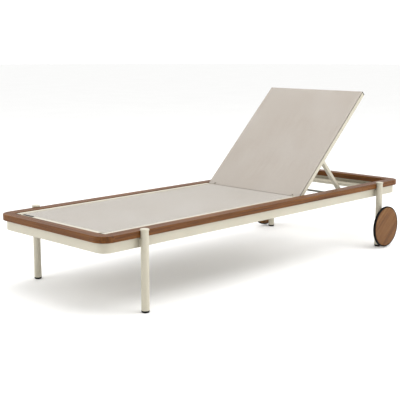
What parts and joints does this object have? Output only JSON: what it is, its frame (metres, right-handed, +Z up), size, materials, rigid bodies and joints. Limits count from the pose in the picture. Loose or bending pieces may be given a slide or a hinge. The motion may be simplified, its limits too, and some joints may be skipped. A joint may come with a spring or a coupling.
{
  "type": "reclining sun lounger",
  "caption": "Low sun lounger with a rounded metal frame, timber rail, taut mesh seat, reclining backrest on a folding strut, straight round legs and timber wheels at the head end.",
  "frame": {"origin": "on the floor under the middle of the lounger's length and width", "axes": "+X towards the head end, +Y to the right-hand side of a person lying on it, +Z up"},
  "size_m": [2, 0.81, 0.7877],
  "materials": {
    "timber": "oiled brown hardwood with fine straight grain",
    "frame_coating": "cream-white powder coat, satin",
    "mesh_sling": "taut plain-woven coated mesh, beige grey",
    "glide_rubber": "matt black",
    "tyre_rubber": "matt black",
    "dark_plastic": "matt dark grey",
    "steel": "brushed stainless"
  },
  "bodies": {
    "frame": {"rail_side_left": "timber", "rail_side_right": "timber", "rail_end_foot": "timber", "rail_end_head": "timber", "beam_side_left": "frame_coating", "beam_side_right": "frame_coating", "beam_end_foot": "frame_coating", "beam_end_head": "frame_coating", "cross_member_foot": "frame_coating", "cross_member_middle": "frame_coating", "cross_member_hinge": "frame_coating", "head_ledge": "frame_coating", "ledge_buffer_left": "glide_rubber", "ledge_buffer_right": "glide_rubber", "leg_foot_left": "frame_coating", "leg_foot_right": "frame_coating", "leg_head_left": "frame_coating", "leg_head_right": "frame_coating", "glide_foot_left": "glide_rubber", "glide_foot_right": "glide_rubber", "glide_head_left": "glide_rubber", "glide_head_right": "glide_rubber", "axle_bolt_left": "steel", "axle_bolt_right": "steel", "seat_tube_left": "frame_coating", "seat_tube_right": "frame_coating", "seat_tube_foot": "frame_coating", "seat_tube_head": "frame_coating", "seat_end_cap_left": "dark_plastic", "seat_end_cap_right": "dark_plastic", "seat_sling": "mesh_sling", "blank_plate": "dark_plastic", "hinge_plate_left": "frame_coating", "hinge_plate_right": "frame_coating", "hinge_pin_left": "steel", "hinge_pin_right": "steel", "rack_left": "dark_plastic", "rack_right": "dark_plastic"},
    "backrest": {"back_tube_left": "frame_coating", "back_tube_right": "frame_coating", "back_tube_low": "frame_coating", "back_tube_top": "frame_coating", "back_end_cap_left": "dark_plastic", "back_end_cap_right": "dark_plastic", "back_sling": "mesh_sling", "strut_pin_left": "steel", "strut_pin_right": "steel"},
    "strut": {"strut_arm_left": "frame_coating", "strut_arm_right": "frame_coating", "strut_foot_bar": "frame_coating", "strut_sleeve_left": "dark_plastic", "strut_sleeve_right": "dark_plastic"},
    "wheel_left": {"wheel_disc_left": "timber", "wheel_tyre_left": "tyre_rubber", "wheel_hub_left": "dark_plastic"},
    "wheel_right": {"wheel_disc_right": "timber", "wheel_tyre_right": "tyre_rubber", "wheel_hub_right": "dark_plastic"}
  },
  "joints": [
    {"name": "backrest_hinge", "type": "hinge", "parent": "frame", "child": "backrest", "pos_m": [0.2223, 0, 0.3075], "axis": [0, -1, 0], "range_deg": [-43.7, 21.2]},
    {"name": "strut_pivot", "type": "hinge", "parent": "backrest", "child": "strut", "pos_m": [0.41505, 0, 0.48793], "axis": [0, 1, 0], "range_deg": [-85.35, 41.4]},
    {"name": "wheel_left_axle", "type": "hinge", "parent": "frame", "child": "wheel_left", "pos_m": [0.793, -0.398, 0.107], "axis": [0, 1, 0], "continuous": true},
    {"name": "wheel_right_axle", "type": "hinge", "parent": "frame", "child": "wheel_right", "pos_m": [0.793, 0.398, 0.107], "axis": [0, 1, 0], "continuous": true}
  ],
  "couplings": [
    {"joint": "strut_pivot", "follows": "backrest_hinge", "ratio": 1.953}
  ]
}
